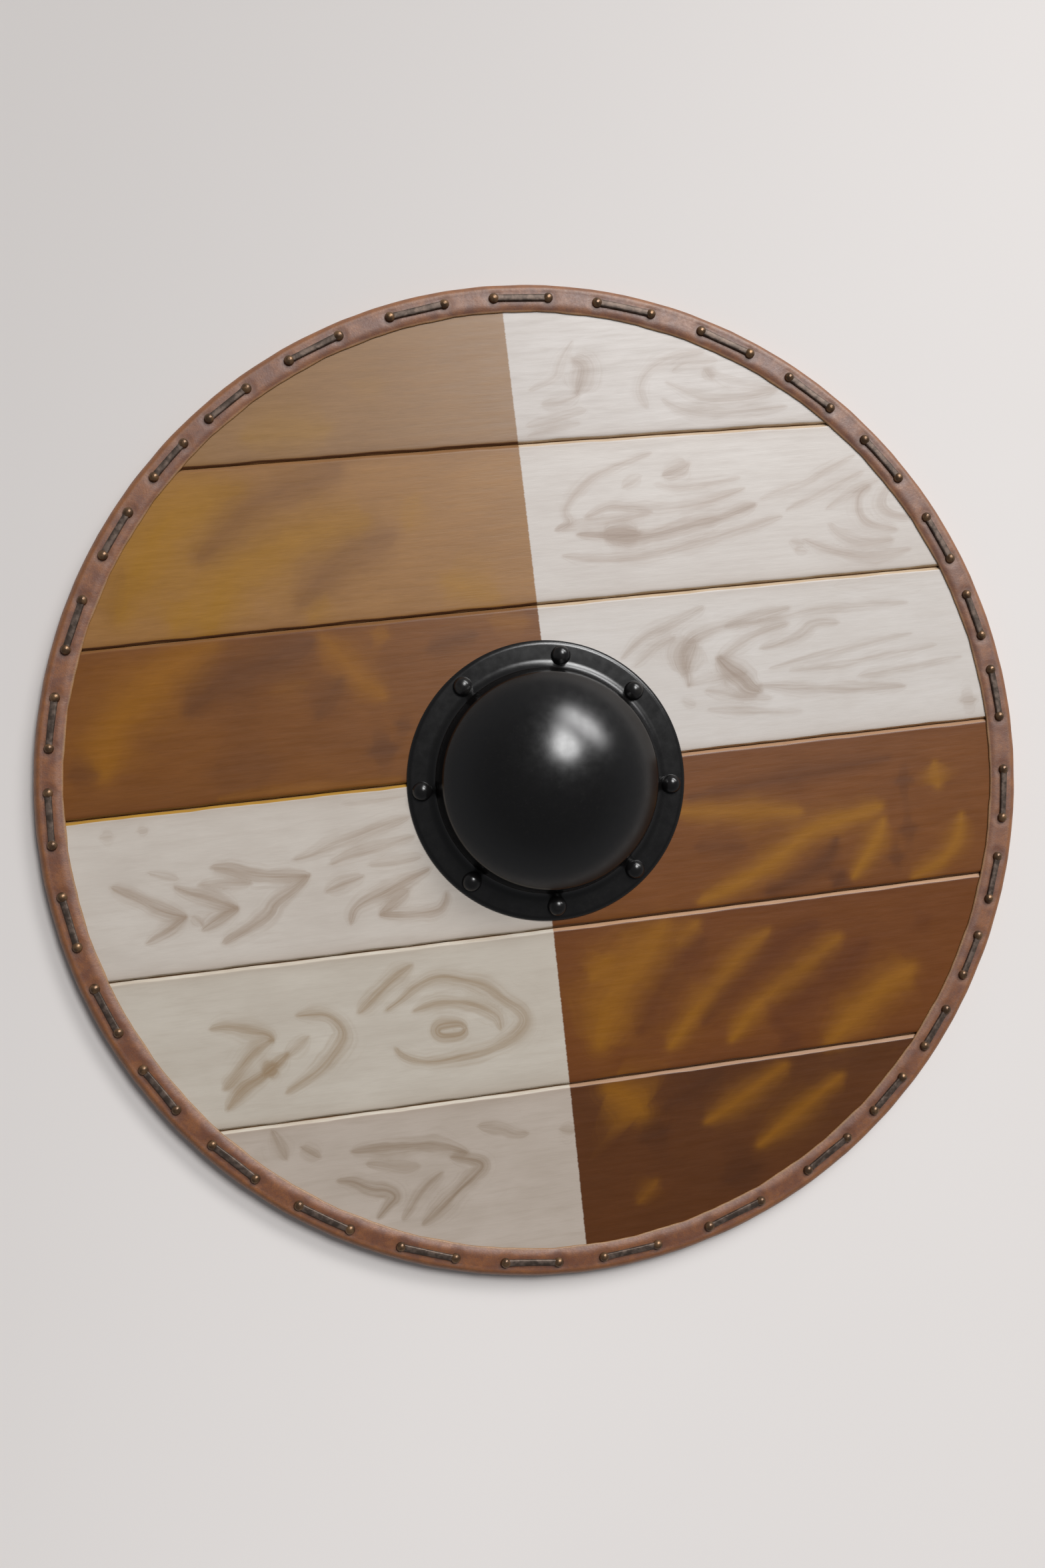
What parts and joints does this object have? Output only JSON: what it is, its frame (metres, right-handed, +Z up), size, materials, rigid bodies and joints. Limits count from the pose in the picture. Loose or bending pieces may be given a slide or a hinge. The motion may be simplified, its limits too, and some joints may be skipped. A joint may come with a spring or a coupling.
{
  "type": "wooden round shield",
  "caption": "Round shield of butted wooden planks, painted in brown and off-white quarters, with a leather rim held by iron clips and a domed black steel boss.",
  "frame": {"origin": "on the surface that the shield lies on, under the middle of the rim", "axes": "+Z up, out of the painted face; +X along the planks; +Y across the planks, towards the first plank"},
  "size_m": [0.7, 0.7, 0.0761],
  "materials": {
    "painted_planks": "satin paint in quarters, brown faux grain and off-white with grey-brown grain, bare wood behind",
    "rim_leather": "tan leather, mottled and slightly polished at the fold",
    "clip_iron": "dark brown iron, worn to bronze on the nail heads",
    "boss_steel": "semi-gloss black paint on steel",
    "grip_wood": "oiled bare wood"
  },
  "bodies": {
    "root": {"plank_1": "painted_planks", "plank_2": "painted_planks", "plank_3": "painted_planks", "plank_4": "painted_planks", "plank_5": "painted_planks", "plank_6": "painted_planks", "rim_leather": "rim_leather", "rim_clip_01": "clip_iron", "rim_clip_02": "clip_iron", "rim_clip_03": "clip_iron", "rim_clip_04": "clip_iron", "rim_clip_05": "clip_iron", "rim_clip_06": "clip_iron", "rim_clip_07": "clip_iron", "rim_clip_08": "clip_iron", "rim_clip_09": "clip_iron", "rim_clip_10": "clip_iron", "rim_clip_11": "clip_iron", "rim_clip_12": "clip_iron", "rim_clip_13": "clip_iron", "rim_clip_14": "clip_iron", "rim_clip_15": "clip_iron", "rim_clip_16": "clip_iron", "rim_clip_17": "clip_iron", "rim_clip_18": "clip_iron", "rim_clip_19": "clip_iron", "rim_clip_20": "clip_iron", "rim_clip_21": "clip_iron", "rim_clip_22": "clip_iron", "rim_clip_23": "clip_iron", "rim_clip_24": "clip_iron", "rim_clip_25": "clip_iron", "rim_clip_26": "clip_iron", "rim_clip_27": "clip_iron", "rim_clip_28": "clip_iron", "rim_clip_29": "clip_iron", "rim_clip_30": "clip_iron", "rim_clip_31": "clip_iron", "boss": "boss_steel", "boss_rivet_1": "boss_steel", "boss_rivet_2": "boss_steel", "boss_rivet_3": "boss_steel", "boss_rivet_4": "boss_steel", "boss_rivet_5": "boss_steel", "boss_rivet_6": "boss_steel", "boss_rivet_7": "boss_steel", "boss_rivet_8": "boss_steel", "grip": "grip_wood", "grip_nail_1": "clip_iron", "grip_nail_2": "clip_iron", "grip_nail_3": "clip_iron", "grip_nail_4": "clip_iron", "grip_nail_5": "clip_iron"}
  },
  "joints": []
}
